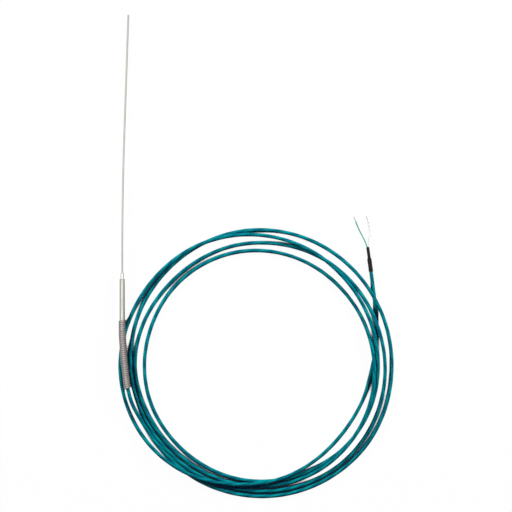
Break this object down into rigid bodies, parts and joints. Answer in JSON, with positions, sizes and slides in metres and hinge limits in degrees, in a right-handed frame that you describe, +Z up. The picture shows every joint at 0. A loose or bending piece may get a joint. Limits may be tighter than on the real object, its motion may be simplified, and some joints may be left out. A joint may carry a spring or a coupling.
{
  "type": "thermocouple probe",
  "caption": "Mineral insulated thermocouple probe with a thin bendable sheath, a potted transition sleeve, a strain relief spring and a coiled jacketed lead with stripped ends.",
  "frame": {"origin": "on the table, under the middle of the probe without its free lead", "axes": "+Y along the probe towards the closed tip, +Z up from the table"},
  "size_m": [0.2317, 0.4067, 0.0098],
  "materials": {
    "sheath_steel": "bright drawn",
    "sleeve_steel": "turned, satin",
    "spring_steel": "drawn wire, satin",
    "positive_alloy": "bare alloy wire",
    "negative_alloy": "bare alloy wire",
    "junction_weld": "fused metal",
    "oxide_powder": "pressed powder, matte",
    "potting_resin": "cast resin",
    "crimp_brass": "satin",
    "green_insulation": "satin",
    "white_insulation": "satin",
    "cable_jacket": "satin",
    "shrink_black": "satin"
  },
  "bodies": {
    "root": {"sheath": "sheath_steel", "mineral_insulation": "oxide_powder", "positive_wire": "positive_alloy", "negative_wire": "negative_alloy", "hot_junction": "junction_weld", "transition_sleeve": "sleeve_steel", "potting_resin": "potting_resin", "positive_splice": "crimp_brass", "negative_splice": "crimp_brass", "positive_lead_core": "green_insulation", "negative_lead_core": "white_insulation", "positive_lead_conductor": "positive_alloy", "negative_lead_conductor": "negative_alloy", "strain_relief_spring": "spring_steel", "cable_lead_in": "cable_jacket", "cable_coil": "cable_jacket", "cable_tail": "cable_jacket", "shrink_sleeve": "shrink_black", "green_core": "green_insulation", "white_core": "white_insulation", "green_conductor": "positive_alloy", "white_conductor": "negative_alloy"}
  },
  "joints": []
}
